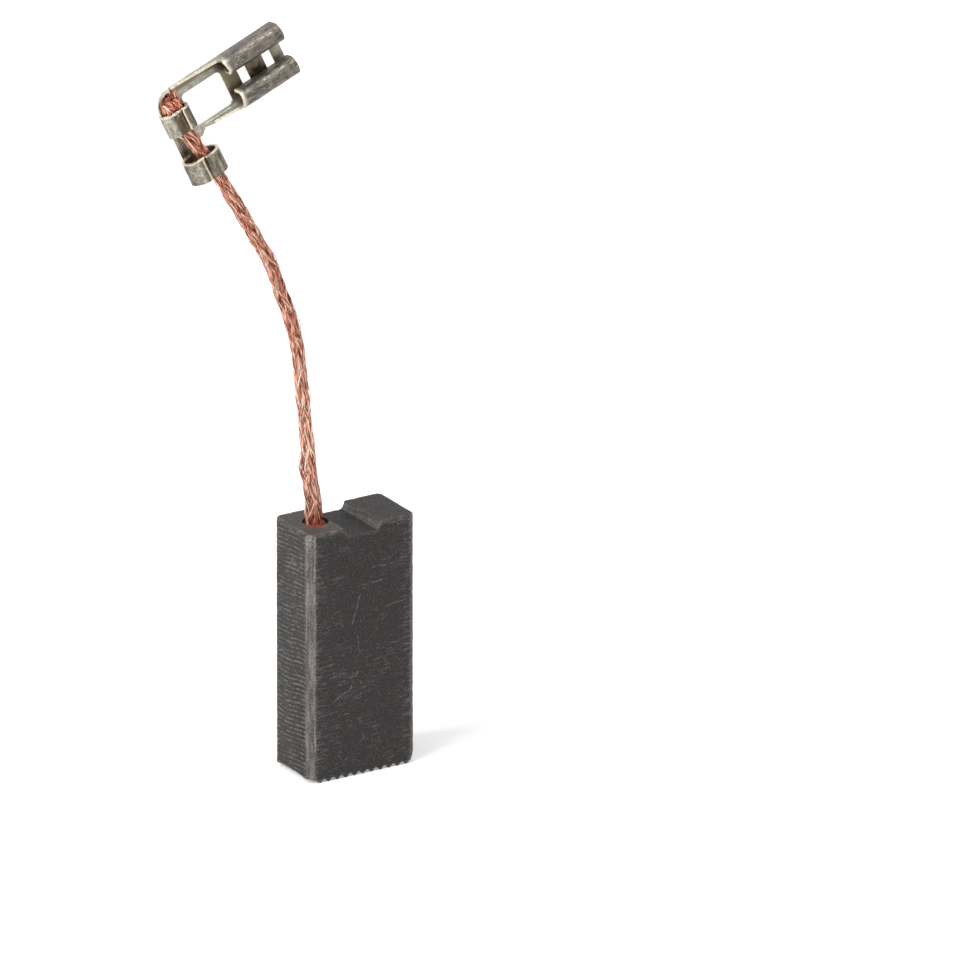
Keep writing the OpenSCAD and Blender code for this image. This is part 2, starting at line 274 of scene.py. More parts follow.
class Finish:
    """One material and the nodes that make it."""

    def __init__(self, name, at=(0, 0, 0), turned=(0, 0, 0)):
        self.material = bpy.data.materials.new(name)
        self.material.use_nodes = True
        self.nodes, self.links = self.material.node_tree.nodes, self.material.node_tree.links
        self.shader = self.nodes["Principled BSDF"]
        place = self.nodes.new("ShaderNodeTexCoord")
        self.mm = self.node("ShaderNodeMapping", {"Location": at, "Rotation": turned,
                                                  "Scale": (MM, MM, MM)},
                            vector_type="TEXTURE")
        self.links.new(place.outputs["Object"], self.mm.inputs["Vector"])

    def node(self, kind, values=None, **settings):
        """Adds a node, sets its options and feeds its sockets."""
        made = self.nodes.new(kind)
        for name, value in settings.items():
            setattr(made, name, value)
        for name, value in (values or {}).items():
            self.feed(made.inputs[name], value)
        return made

    def feed(self, socket, value):
        """Sets a socket to a number or colour, or links it to another node's output."""
        if isinstance(value, bpy.types.Node):
            value = value.outputs[0]
        if isinstance(value, bpy.types.NodeSocket):
            self.links.new(value, socket)
        else:
            socket.default_value = value

    def math(self, operation, a, b=0.0, clamp=False):
        """One step of arithmetic on one or two values."""
        return self.node("ShaderNodeMath", {0: a, 1: b}, operation=operation, use_clamp=clamp)

    def vector(self, operation, a, b):
        """One step of arithmetic on two vectors."""
        return self.node("ShaderNodeVectorMath", {0: a, 1: b}, operation=operation)

    def parts(self, vector):
        """The X, Y and Z of a vector."""
        return self.node("ShaderNodeSeparateXYZ", {"Vector": vector}).outputs

    def noise(self, scale, detail=3.0, roughness=0.6, stretch=None, turn=(0, 0, 0), shift=(0, 0, 0)):
        """Noise of so many features a millimetre; stretch lengthens them along the axes."""
        where = self.mm
        if stretch or any(turn) or any(shift):
            where = self.node("ShaderNodeMapping", {"Vector": self.mm, "Rotation": turn,
                                                    "Location": shift})
            where = self.node("ShaderNodeMapping", {"Vector": where,
                                                    "Scale": stretch or (1, 1, 1)})
        return self.node("ShaderNodeTexNoise", {"Vector": where, "Scale": scale, "Detail": detail,
                                                "Roughness": roughness})

    def between(self, value, low, high, to_low=0.0, to_high=1.0):
        """Maps low..high to to_low..to_high, smoothly, and holds the ends."""
        return self.node("ShaderNodeMapRange", {"Value": value, "From Min": low, "From Max": high,
                                                "To Min": to_low, "To Max": to_high},
                         interpolation_type="SMOOTHSTEP")

    def blend(self, amount, a, b):
        """Colour a where amount is 0, colour b where it is 1."""
        made = self.node("ShaderNodeMix", data_type="RGBA", clamp_factor=True)
        for socket, value in ((0, amount), (6, a), (7, b)):
            self.feed(made.inputs[socket], value)
        return made.outputs[2]

    def layered(self, colour, layers):
        """Lays colours over a first one: each has its mark, its share and its 0 to 255 tint."""
        for mark, share, tint in layers:
            colour = self.blend(self.math("MULTIPLY", mark, share), colour, linear(*tint))
        return colour

    def stored(self, name):
        """A number that is stored on the mesh's points."""
        return self.node("ShaderNodeAttribute", attribute_name=name).outputs["Fac"]

    def near_line(self, start, end, where=None):
        """How many millimetres a spot lies from the straight line between two places."""
        start, end = Vector(start), Vector(end)
        way = end - start
        from_start = self.vector("SUBTRACT", where or self.mm, start)
        ahead = self.vector("DOT_PRODUCT", from_start, way / way.length_squared).outputs["Value"]
        ahead = self.math("ADD", ahead, 0, clamp=True)
        foot = self.node("ShaderNodeVectorMath", {0: way, "Scale": ahead}, operation="SCALE")
        return self.vector("DISTANCE", from_start, foot).outputs["Value"]

    def bump(self, height, depth, strength=1.0, under=None):
        """A bump of so many millimetres."""
        made = self.node("ShaderNodeBump", {"Height": height, "Distance": depth * MM,
                                            "Strength": strength})
        if under:
            self.links.new(under.outputs[0], made.inputs["Normal"])
        return made

    def finish(self, **sockets):
        """Feeds the shader's own sockets and gives the finished material."""
        for name, value in sockets.items():
            socket = name.replace("_", " ").title().replace("Ior", "IOR")
            self.feed(self.shader.inputs[socket], value)
        print(f"{self.material.name}: {len(self.nodes)} nodes")
        return self.material


# %% [markdown]
# ## Finish: carbon
# The block is pressed from carbon and graphite powder and fired. It is nearly black, and faintly
# grained. A pattern could be laid on each face, but noise in three dimensions runs through the block
# as real grain does, and has no seams at the edges. First come the grain, its light specks and dark
# pores, and broad patches that are a little bluer or browner.

# %% Carbon: grain
HOLE_AT, HOLE_R = Vector((-3.4, 0, 0)), 1.3
BLOCK_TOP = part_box("carbon_block")[1].z / MM

carbon = Finish("carbon")
grain = carbon.noise(6, 5, 0.9)
speck = carbon.between(carbon.noise(9, 2, 0.7), 0.62, 0.7)
pore = carbon.between(carbon.noise(5.5, 3, 0.8, shift=(5, 9, 2)), 0.44, 0.35)
patch = carbon.noise(0.3, 4, 0.6)
print(f"the block's top is at {BLOCK_TOP:.1f} mm")

# %% [markdown]
# ## Finish: carbon, hairlines
# Graphite that is rubbed shines a little, so every touch leaves a light line. There are far too many
# to place by hand: they are noise, stretched until its blots become hairs that run across or slant
# upwards. Short ticks stand close together at the sides of the wide faces. Level faces have none,
# because there the stretched noise would be cut across and show as blots.

# %% Carbon: hairlines
place = carbon.parts(carbon.mm)
across_face = carbon.noise(1.6, 3, 0.6, stretch=(0.45, 0.45, 6), turn=(0, 0.1, 0))
up_face = carbon.noise(1.6, 2, 0.5, stretch=(5, 5, 0.5), turn=(0, 0.55, 0.3), shift=(3, 1, 7))
hairs = carbon.math("MAXIMUM", carbon.between(across_face, 0.58, 0.68),
                    carbon.between(up_face, 0.64, 0.74))
hairs = carbon.math("MULTIPLY", hairs,
                    carbon.between(carbon.noise(0.4, 3, 0.6, shift=(1, 2, 3)), 0.42, 0.6))

from_middle = carbon.math("ABSOLUTE", place["X"])
on_wide_face = carbon.between(carbon.math("ABSOLUTE", place["Y"]), 3.38, 3.46)
ticks = carbon.noise(1.5, 3, 0.7, stretch=(0.5, 0.5, 2.6), shift=(6, 2, 4))
ticks = carbon.math("MULTIPLY", carbon.between(ticks, 0.5, 0.62),
                    carbon.between(from_middle, 3.7, 5.2, 0, 0.6))
hairs = carbon.math("MAXIMUM", hairs, carbon.math("MULTIPLY", ticks, on_wide_face))

normal = carbon.node("ShaderNodeNewGeometry").outputs["True Normal"]
level = carbon.math("ABSOLUTE", carbon.parts(normal)["Z"])
hairs = carbon.math("MULTIPLY", hairs, carbon.between(level, 0.7, 0.4))

# %% [markdown]
# ## Finish: carbon, scratches
# A few scratches are longer than the hairlines. Each is a straight line between two places on a
# face, and the material asks how far a spot lies from it. Slow noise bends the lines a little, and
# faster noise breaks them into dashes.

# %% Carbon: scratches
SCRATCHES = [                            # ends of each, its width and its strength
    ((-6.25, -1.6, 25.4), (-6.25, 0.9, 21.2), 0.05, 0.3),
    ((-6.25, -2.2, 23.6), (-6.25, -0.6, 20.4), 0.04, 0.25),
    ((-6.25, 0.4, 12.5), (-6.25, -2, 10.2), 0.04, 0.3),
    ((-3.9, -3.5, 8.2), (-1.6, -3.5, 9.3), 0.04, 0.45),
    ((-1.6, -3.5, 9.3), (-0.6, -3.5, 11), 0.04, 0.5),
    ((-1.3, -3.5, 16.2), (-0.4, -3.5, 19), 0.035, 0.4),
    ((-0.4, -3.5, 19), (1.1, -3.5, 20.9), 0.035, 0.35),
    ((-0.7, -3.5, 15), (-0.4, -3.5, 11.6), 0.035, 0.3),
    ((1.4, -3.5, 22.5), (5.2, -3.5, 22.1), 0.04, 0.45),
    ((1, -3.5, 21.7), (3.9, -3.5, 21.8), 0.035, 0.4),
    ((-0.3, -3.5, 20.1), (2.9, -3.5, 20.3), 0.035, 0.4),
    ((2.6, -3.5, 17.4), (5, -3.5, 17.6), 0.035, 0.35),
    ((0.6, -3.5, 14), (2.8, -3.5, 16.6), 0.03, 0.3),
    ((2.6, 3.5, 6), (-2.2, 3.5, 8.1), 0.045, 0.4),
    ((-3, 3.5, 16), (-0.5, 3.5, 19), 0.04, 0.35)]

bend = carbon.vector("SUBTRACT", carbon.noise(0.5, 2).outputs["Color"], (0.5, 0.5, 0.5))
bent = carbon.vector("ADD", carbon.mm, carbon.vector("MULTIPLY", bend, (0.5, 0.5, 0.7)))
scratched = 0.0
for start, end, width, strength in SCRATCHES:
    line = carbon.between(carbon.near_line(start, end, bent), 1.6 * width, 0.4 * width, 0, strength)
    scratched = carbon.math("MAXIMUM", line, scratched)
dashes = carbon.between(carbon.noise(1.6, 2, 0.6, shift=(0, 4, 0)), 0.3, 0.5)
scratched = carbon.math("MULTIPLY", scratched, dashes)
print(f"carbon: {len(SCRATCHES)} scratches")

# %% [markdown]
# ## Finish: carbon, saw marks and rubbed edges
# The narrow faces were sawn, and each tooth left a wave. The mesh stores where a point lies on that
# wave, so that the colour and the shape agree: crests are light where they were touched, and the
# valleys next to the chamfer are dark. Another stored number says how rubbed a spot is. The left
# of the top is a little lighter, which is painted light, and the top beside the hole carries a trace
# of the red powder.

# %% Carbon: saw marks and rubbed edges
wave = carbon.math("COSINE", carbon.math("MULTIPLY", carbon.stored("saw"), 2 * math.pi))
touched = carbon.between(carbon.noise(1.5, 3, 0.75, shift=(8, 0, 0)), 0.42, 0.6)
crest = carbon.math("MULTIPLY", carbon.between(wave, 0.5, 0.98),
                    carbon.math("MULTIPLY", carbon.stored("sawn"), touched))
notch = carbon.math("MULTIPLY", carbon.between(wave, 0.2, -0.7), carbon.stored("notch"))
lengthwise = carbon.between(carbon.noise(4, 3, 0.6, stretch=(1, 1, 0.07)), 0.38, 0.6, 0.55, 1.25)
rubbed = carbon.math("MULTIPLY", carbon.math("MULTIPLY", carbon.stored("rub"), lengthwise),
                     carbon.between(grain, 0.38, 0.62, 0.2, 1.0), clamp=True)
# the left of the top is a little lighter: painted light
painted_light_on_top = carbon.math("MULTIPLY", carbon.between(level, 0.6, 0.9),
                      carbon.between(place["X"], -0.8, -1.6, 0, 0.06))
trace = carbon.near_line(HOLE_AT + Vector((-1.3, -0.9, BLOCK_TOP)),
                         HOLE_AT + Vector((-0.3, -1.5, BLOCK_TOP)))
trace = carbon.math("MULTIPLY", carbon.between(trace, 0.9, 0.1),
                    carbon.between(grain, 0.35, 0.65, 0.1, 0.45))

# %% [markdown]
# ## Finish: carbon, colours
# Each kind of mark is laid over those before it, as the real surface got them, except two that are
# painted: shade on the slot's floor and light on the left of the top. A mark's share says how much
# of its colour shows where the mark is full.

# %% Carbon: colours
colour = carbon.blend(carbon.between(patch, 0.35, 0.65), linear(18, 18, 21), linear(25, 20, 16))
colour = carbon.layered(colour, [
    (carbon.between(grain, 0.4, 0.7), 1, (68, 63, 62)),
    # the slot's floor is darkened: painted shade
    (carbon.stored("slot"), 0.5, (14, 13, 12)),
    (speck, 0.68, (136, 130, 128)),
    (pore, 0.85, (9, 9, 9)),
    (hairs, 0.5, (126, 122, 122)),
    (crest, 0.62, (122, 119, 104)),
    (notch, 0.9, (10, 10, 8)),
    (scratched, 1, (160, 156, 150)),
    (rubbed, 1, (160, 152, 148)),
    # painted light on the left of the top
    (painted_light_on_top, 1, (176, 164, 154)),
    (trace, 1, (140, 80, 70))])
carbon_rough = carbon.between(carbon.math("ADD", hairs, rubbed), 0, 1, 0.62, 0.45)
carbon_skin = carbon.finish(base_color=colour, roughness=carbon_rough,
                            normal=carbon.bump(grain, 0.05, 0.9), specular_ior_level=0.28)

# %% [markdown]
# ## Taking a solid over from the CAD
# The CAD block has the real outline, with its ridged contact face, spring slot and lead hole, and it
# could be modelled again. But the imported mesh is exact, so a copy is dressed instead. It comes as
# loose triangles, which are merged, and its flat faces are joined again. Slicing it with parallel
# planes then gives it an even grid of points without changing its shape.

# %% Copies and slices of a solid


def solid_of(node):
    """A merged copy of a CAD node's mesh, with its flat faces whole."""
    bm = bmesh.new()
    bm.from_mesh(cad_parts[node].data)
    bmesh.ops.remove_doubles(bm, verts=bm.verts, dist=0.002 * MM)
    bmesh.ops.dissolve_limit(bm, angle_limit=math.radians(0.4), verts=bm.verts, edges=bm.edges)
    print(f"{node}: {len(bm.faces)} faces in the merged copy")
    return bm


def slice_along(bm, way, places):
    """Cuts the mesh by planes square to way, at places in metres from low to high."""
    way = Vector(way)
    upper = bm.faces[:]
    for place in places:
        edges = list({e for f in upper for e in f.edges})
        points = list({v for f in upper for v in f.verts})
        cut = bmesh.ops.bisect_plane(bm, geom=upper + edges + points, plane_co=way * place,
                                     plane_no=way, dist=1e-7)
        upper = [f for f in cut["geom"] if isinstance(f, bmesh.types.BMFace)
                 and max(v.co.dot(way) for v in f.verts) > place + 1e-7]


def steps(low, high, step):
    """Places between low and high, about one step apart, without the two ends."""
    count = max(2, round((high - low) / step))
    return [low + (high - low) * k / count for k in range(1, count)]


# %% [markdown]
# ## The carbon block
# What the CAD block lacks is the sawn and tumbled surface. The grid is closest along the height,
# because the saw marks of the narrow faces run across. A bevel could round the edges, but it would
# need room beside every slice, so the points on sharp edges are smoothed instead. Where the sharp
# edges were is kept in a search tree, which the wear asks later.

# %% Block: grid and rounded edges
BLOCK_STEP, BLOCK_STEP_Z = 0.28, 0.12    # millimetres
NEAR_EDGE = (0.1, 0.25)                  # distances of the first two cuts from each side


def sharp_edges(bm, degrees):
    """Edges where two faces meet at more than so many degrees."""
    return [e for e in bm.edges if e.is_manifold and e.calc_face_angle() > math.radians(degrees)]


bm = solid_of("carbon_block")
low, high = (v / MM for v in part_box("carbon_block"))
for way, a, b, step in (((1, 0, 0), low.x, high.x, BLOCK_STEP),
                        ((0, 1, 0), low.y, high.y, BLOCK_STEP),
                        ((0, 0, 1), low.z, high.z, BLOCK_STEP_Z)):
    places = sorted([a + d for d in NEAR_EDGE] + [b - d for d in NEAR_EDGE]
                    + steps(a + NEAR_EDGE[1], b - NEAR_EDGE[1], step))
    slice_along(bm, way, [p * MM for p in places])
sharp = {v for e in sharp_edges(bm, 25) for v in e.verts}
edge_tree = KDTree(len(sharp))
for i, v in enumerate(sharp):
    edge_tree.insert(v.co / MM, i)
edge_tree.balance()
for _ in range(2):
    bmesh.ops.smooth_vert(bm, verts=list(sharp), factor=0.4, use_axis_x=True, use_axis_y=True,
                          use_axis_z=True)
bm.normal_update()
print(f"block: {len(bm.verts)} points, {len(sharp)} of them on sharp edges")

# %% [markdown]
# ## The block's wear
# Every point moves inwards along its normal: by the saw's waves on the narrow faces, by crumbled
# spots along the edges, and by a slight unevenness everywhere. A bump in the material would be
# easier, but it leaves the outline and the shadows smooth. Nothing moves outwards, so the block
# keeps its size.

# %% Block: tool marks
SAW_PITCH, SAW_DEPTH = 0.47, 0.03
CRUMBLE_DEPTH, EDGE_REACH = 0.07, 0.3    # at the edges, and how far from them
DIP_DEPTH = 0.012                        # on the faces


def ramp(value, low, high):
    """0 at low, 1 at high, straight between them."""
    return min(1.0, max(0.0, (value - low) / (high - low)))


marks, moves = [], []
for v in bm.verts:
    p, n = v.co / MM, v.normal
    near_edge = max(0.0, 1 - edge_tree.find(p)[2] / EDGE_REACH)
    crumbs = max(0.0, noise.noise(p * 2.6) + 0.45 * noise.noise(p * 6.5))
    sawn = abs(n.x) ** 4
    sway = 0.35 * noise.noise(Vector((p.y * 0.25, p.z * 0.08, 3)))
    saw = (p.z + sway + 0.06 * p.y) / SAW_PITCH
    patchy = ramp(0.75 + 1.2 * noise.noise(Vector((p.y * 0.6, p.z * 0.5, 11))), 0, 1)
    inward = near_edge * (0.005 + CRUMBLE_DEPTH * crumbs)
    inward += SAW_DEPTH * sawn * patchy * (0.5 - 0.5 * math.cos(2 * math.pi * saw))
    inward += DIP_DEPTH * max(0.0, noise.noise(p * 0.8))
    moves.append(n * (-inward * MM))
    marks.append((near_edge, crumbs, sawn, saw))
print(f"the deepest mark is {max(move.length for move in moves) / MM:.3f} mm")

# %% [markdown]
# ## What the carbon finish reads
# The same marks, with the point's place, give the numbers that are stored for the finish: how rubbed
# a spot is, where it lies on the saw's wave, and how far it belongs to a sawn face, to the notched
# strip beside a chamfer or to the slot's floor, which the finish darkens as painted shade.

# %% Block: numbers for the finish
EDGE_CHAMFER, SLOT_DEPTH = 0.75, 0.9     # of the CAD block
RUBBED_LEFT, RUBBED_RIGHT = 0.8, 0.3     # the chamfers on the left were handled more

half_w, half_t = high.x, high.y
chamfer_line = half_w + half_t - EDGE_CHAMFER
attributes = {name: [] for name in ("rub", "saw", "sawn", "notch", "slot")}
for v, (near_edge, crumbs, sawn, saw) in zip(bm.verts, marks):
    p, n = v.co / MM, v.normal
    on_chamfer = ramp(abs(p.x) + abs(p.y), chamfer_line - 0.06, chamfer_line - 0.01)
    streak = 0.6 + 0.5 * noise.noise(Vector((p.x * 9, p.y * 9, p.z * 0.8)))
    crumbled = ramp(p.z, BLOCK_TOP - 1.2, BLOCK_TOP - 0.5) * max(0.0, 2.5 * noise.noise(p * 4))
    worn_side = RUBBED_LEFT if p.x < 0 else RUBBED_RIGHT
    in_slot = BLOCK_TOP - SLOT_DEPTH - 0.3 < p.z < BLOCK_TOP - 0.25 and abs(p.x) < 3.0
    slot_wall = 0.25 if in_slot and abs(n.x) > 0.5 else 0.0
    attributes["rub"].append(max(on_chamfer * (worn_side * streak + crumbled), slot_wall,
                                 0.4 * near_edge * (0.3 + 1.4 * crumbs)))
    attributes["saw"].append(saw)
    # the slot's floor, which the finish darkens as painted shade
    attributes["slot"].append(1.0 if in_slot and n.z > 0.3 else 0.0)
    attributes["sawn"].append(sawn * (1 - on_chamfer))
    at_chamfer = ramp(-p.y, half_t - 3.8, half_t - 1.6)
    uneven = 0.65 + 0.9 * noise.noise(Vector((p.y * 0.7, p.z * 1.6, 5)))
    uneven *= max(0.25, ramp(p.z, 19, 12))  # the notches are weaker in the upper half
    attributes["notch"].append(sawn * at_chamfer * ramp(uneven, 0, 1))
for v, move in zip(bm.verts, moves):
    v.co += move
print("block:", {name: round(float(np.mean(values)), 2) for name, values in attributes.items()})

# %% [markdown]
# ## Putting a piece in the scene
# A finished bmesh becomes an object at the origin, with its place in its mesh. It is shaded smooth,
# except where faces meet at more than an angle that suits the piece. Then it is hung on the body it
# rides on, and the CAD solid it stands for is hidden. All pieces go through one function, so that
# none misses a step.

# %% Block: piece


def add_piece(name, bm, materials, replaces=(), sharp=40):
    """Makes an object of the bmesh, shades it smooth and hangs it on the brush's body."""
    mesh = bpy.data.meshes.new(name)
    bm.to_mesh(mesh)
    bm.free()
    for left_over in ("custom_normal", "sharp_edge", "sharp_face"):
        if left_over in mesh.attributes:
            mesh.attributes.remove(mesh.attributes[left_over])
    mesh.shade_smooth()
    mesh.set_sharp_from_angle(angle=math.radians(sharp))
    for material in materials:
        mesh.materials.append(material)
    made = bpy.data.objects.new(name, mesh)
    scene.collection.objects.link(made)
    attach(made, "root")
    if replaces:
        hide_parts(*replaces)
    mesh.calc_loop_triangles()
    print(f"{name}: {len(mesh.loop_triangles)} triangles")
    return made


def new_float(mesh, name, values):
    """Stores one number for each point of a mesh, for its material to read."""
    layer = mesh.attributes.new(name, "FLOAT", "POINT")
    layer.data.foreach_set("value", np.asarray(values, np.float32))


block = add_piece("block", bm, [carbon_skin], ["carbon_block"], sharp=50)
for name, values in attributes.items():
    new_float(block.data, name, values)

# %% [markdown]
# ## Finish: copper braid
# The lead is braided from bundles of hair-fine copper wires. New copper is salmon pink, and each
# wire has its own shade from drawing and handling. Noise alone would give blots that ignore the
# wires, so the mesh stores two numbers on them. The first picks the tone and carries painted glints
# along each wire, and its highest values are a painted cream highlight. The second is painted shade
# where a bundle dives under its neighbour. Slow noise dulls whole stretches, the lower half is a
# little paler, and the foot is reddened by the powder.

# %% Copper braid
copper = Finish("copper_braid")
height = copper.parts(copper.mm)["Z"]
shade = copper.stored("shade")
dull = copper.between(copper.noise(0.8, 3, 0.6), 0.45, 0.7)
lower_half = copper.between(height, 54, 40)
foot = copper.between(height, BLOCK_TOP + 2, BLOCK_TOP - 0.2)
colour = copper.blend(copper.between(shade, 0, 0.55), linear(140, 70, 52), linear(224, 152, 126))
colour = copper.layered(colour, [
    # painted highlight: the highest tones turn pale cream
    (copper.between(shade, 0.55, 1), 1, (255, 234, 212)),
    # painted shade where a bundle dives under another
    (copper.stored("painted_gap_shade"), 0.66, (84, 28, 18)),
    (dull, 0.3, (176, 110, 86)),
    (lower_half, 0.08, (244, 208, 190)),
    (foot, 0.5, (186, 72, 44))])
fine = copper.bump(copper.noise(14, 2, 0.5), 0.01, 0.4)
copper_skin = copper.finish(base_color=colour, metallic=0.7, roughness=0.36, normal=fine)

# the core's dark copper colour is painted shade of the braid's inside
core_shade = Finish("core_painted_shade")
deep = core_shade.blend(core_shade.noise(5, 3), linear(70, 26, 18), linear(110, 48, 34))
copper_core_skin = core_shade.finish(base_color=deep, metallic=0.6, roughness=0.6)

# %% [markdown]
# ## The braided lead
# A braiding machine runs eight bundles one way round and eight the other, and each bundle passes
# over two and under two of those it meets. One bundle could be modelled and repeated, but in a real
# lead no two wires lie alike. So every wire here is one line of a curve object, bent to that rule
# with small random wanderings. The cross-section is a circle along the free lead. It swells where
# the lead leaves the block, and widens to the oval of the crimps.

# %% Lead: cross-section
CRIMP_IN = lead_end - 3.45               # where the lead enters the conductor crimp
RING_IN = lead_end - 6.6
SECTION_AT = [0, 5, 7, 10, 14, RING_IN - 3, RING_IN, CRIMP_IN - 0.6, CRIMP_IN + 0.4, lead_end]
SECTION_WIDE = [1.1, 1.24, 1.3, 1.2, 1.02, 1.0, 1.06, 1.2, 1.6, 1.66]
SECTION_HIGH = [1.1, 1.24, 1.3, 1.2, 1.02, 1.0, 1.0, 0.98, 1.08, 1.1]
SLACK_AT, SLACK = CRIMP_IN - 1.4, 0.3    # between the crimps it lies to one side of the channel

forward = unit(np.gradient(lead_line, axis=0))
across = np.zeros_like(lead_line)
across[-1] = term_x
for i in range(len(across) - 1, -1, -1):
    start = across[min(i + 1, len(across) - 1)]
    across[i] = unit(start - start @ forward[i] * forward[i])
upward = np.cross(across, forward)
wide = np.interp(along, SECTION_AT, SECTION_WIDE)
tall = np.interp(along, SECTION_AT, SECTION_HIGH)
slack = SLACK * np.exp(-((along - SLACK_AT) / 0.9) ** 2)
lead_middle = lead_line + np.outer(slack, term_x)
print(f"section: {wide.min():.2f} to {wide.max():.2f} times the free lead's width")

# %% [markdown]
# ## How the wires run
# Each bundle is a helix, and a smooth switch lifts it over the others and lets it down under them.
# Slow random lines push the bundles and wires about. The random numbers start from a fixed seed, so
# that every run gives the same braid.

# %% Lead: the braid's rule
BUNDLES, WIRES = 8, 7                    # bundles each way round, wires in a bundle
BRAID_R, WIRE_R, LIFT = 0.62, 0.037, 0.055
LAY = 22.0                               # length in which a bundle goes once round
WIRE_ANGLE = 0.108                       # radians from wire to wire
rng = np.random.default_rng(7)


def wander(period):
    """A slow random line between about -1 and 1, along the lead."""
    total = np.zeros_like(along)
    for weight, times in ((0.55, 1.0), (0.3, 1.9), (0.15, 3.7)):
        total += weight * np.sin(2 * math.pi * times * along / period
                                 * rng.uniform(0.85, 1.15) + rng.uniform(0, 2 * math.pi))
    return total


print(f"a bundle goes round {lead_end / LAY:.1f} times")

# %% [markdown]
# ## Every wire of the braid
# Two things break the order, as on a lead that has been handled. A quarter of the wires stand off
# for a short way, and near the block the bundles of one hand have sprung out. The painted glints
# along the wires are stronger in the lower half.

# %% Lead: wires
LOOSE_SHARE, LOOSE_BY = 0.25, 0.15       # how many wires are loose, and how far they stand off
SPRUNG_AT, SPRUNG_BY, SPRUNG_WAY = 11.8, 0.24, (-0.85, 0.52, 0)
LOOSE_REACH = 1.3                        # millimetres along the lead, for both
# how strong the painted glints are, along the lead
GLINT_SCALE_AT, GLINT_SCALE = (0, 22, 32), (1.7, 1.6, 1)


def swelling(middle):
    """1 at one place along the lead, and nearly 0 away from it."""
    return np.exp(-((along - middle) / LOOSE_REACH) ** 2)


glint_strength = np.interp(along, GLINT_SCALE_AT, GLINT_SCALE)
wires, shades, gap_shades = [], [], []
for hand in (1, -1):
    for bundle in range(BUNDLES):
        phase = 2 * bundle + hand * 2 * BUNDLES * along / LAY
        over = np.tanh(2 * np.cos(math.pi / 2 * (phase - 0.5))) / math.tanh(2)
        drift, squeeze, rise = 0.25 * wander(9), 1 + 0.35 * wander(6), 0.04 * wander(5)
        tone = rng.uniform(0.44, 0.6)
        for wire in range(WIRES):
            side = wire - (WIRES - 1) / 2
            angle = (hand * 2 * math.pi * along / LAY + 2 * math.pi * bundle / BUNDLES
                     + drift + side * WIRE_ANGLE * squeeze + 0.06 * wander(3.5))
            radius = (BRAID_R + hand * LIFT * over + rise - 0.02 * abs(side)
                      + 0.03 * wander(2.4))
            offset = (across * (np.cos(angle) * wide * radius)[:, None]
                      + upward * (np.sin(angle) * tall * radius)[:, None])
            if rng.random() < LOOSE_SHARE:
                stand_off = LOOSE_BY * swelling(rng.uniform(5, lead_end - 8))
                offset *= (1 + stand_off / radius)[:, None]
            if hand == 1:
                towards = np.clip(unit(offset) @ SPRUNG_WAY, 0, 1) ** 2
                sprung = SPRUNG_BY * towards * swelling(SPRUNG_AT)
                offset *= (1 + sprung / radius)[:, None]
            wires.append(lead_middle + offset)
            # painted glints: short lighter and darker stretches along each wire
            painted_glints = np.convolve(rng.normal(0, 0.5, len(along)), (0.15, 0.7, 0.15), "same")
            painted_glints *= glint_strength
            shades.append(np.clip(tone + rng.normal(0, 0.2) + painted_glints, 0, 1))
            # painted shade where the bundle dives under another
            gap_shades.append(np.clip(0.5 - 0.5 * hand * over + 0.12 * abs(side), 0, 1) ** 1.5)
print(f"braid: {len(wires)} wires in {2 * BUNDLES} bundles")

# %% [markdown]
# ## From lines to tubes
# A curve object's round bevel makes the tubes of all the wires at once, and its mesh has its points
# in the order of the lines, so that the stored numbers can simply be repeated round each tube. A
# core inside the wires keeps daylight from showing between the bundles, and its dark colour is
# painted shade of the braid's inside.

# %% Lead: tubes and core
CORE_R, CORE_SHORTER = 0.53, 1.5         # the core ends inside the crimp


def tubes(name, lines, radius, sides=0):
    """A mesh of round tubes, one round each line of millimetre points."""
    curve = bpy.data.curves.new(name, "CURVE")
    curve.dimensions = "3D"
    curve.bevel_depth, curve.bevel_resolution = radius * MM, sides
    for points in lines:
        spline = curve.splines.new("POLY")
        spline.points.add(len(points) - 1)
        places = np.column_stack([np.asarray(points) * MM, np.ones(len(points))])
        spline.points.foreach_set("co", places.ravel())
    holder = bpy.data.objects.new(name + "_curve", curve)
    mesh = bpy.data.meshes.new_from_object(holder)
    bpy.data.objects.remove(holder)
    bpy.data.curves.remove(curve)
    bm = bmesh.new()
    bm.from_mesh(mesh)
    bpy.data.meshes.remove(mesh)
    bmesh.ops.holes_fill(bm, edges=[e for e in bm.edges if e.is_boundary], sides=12)
    bmesh.ops.recalc_face_normals(bm, faces=bm.faces)
    return bm


def store_on_tubes(mesh, name, values):
    """Stores one number for each point of the lines that the tubes were made from."""
    values = np.concatenate(values)
    new_float(mesh, name, np.repeat(values, len(mesh.vertices) // len(values)))


lead = add_piece("lead", tubes("lead", wires, WIRE_R), [copper_skin],
                 ["shunt_lead"], sharp=60)
store_on_tubes(lead.data, "shade", shades)
store_on_tubes(lead.data, "painted_gap_shade", gap_shades)
core_line = lead_middle[along < lead_end - CORE_SHORTER]
core = add_piece("lead_core", tubes("lead_core", [core_line], CORE_R, 3), [copper_core_skin])

# %% [markdown]
# ## Copper powder in the hole
# The lead is fixed by ramming copper powder round it. The powder's top is a rough red ring, a
# little below the carbon, that creeps up the lead. It could be a heap of single grains, but only its
# skin is ever seen, so an edge of the hole's size is extruded inwards and upwards, ring by ring, and
# noise pushes the rings about.

# %% Copper powder
POWDER_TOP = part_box("tamping_plug")[1].z / MM
POWDER_R = HOLE_R - 0.03
# Each ring's share of the radius, and how far it climbs from the one before.
POWDER_RINGS = [(1.0, 0.2), (0.96, 0.07), (0.88, 0.07), (0.8, 0.07), (0.72, 0.08), (0.65, 0.1),
                (0.6, 0.1)]

powder = Finish("copper_powder")
bits = powder.noise(9, 3, 0.7)
colour = powder.blend(powder.between(bits, 0.35, 0.65), linear(66, 14, 8), linear(150, 50, 34))
powder_skin = powder.finish(base_color=colour, metallic=0.45, roughness=0.6,
                            normal=powder.bump(bits, 0.06, 0.8))

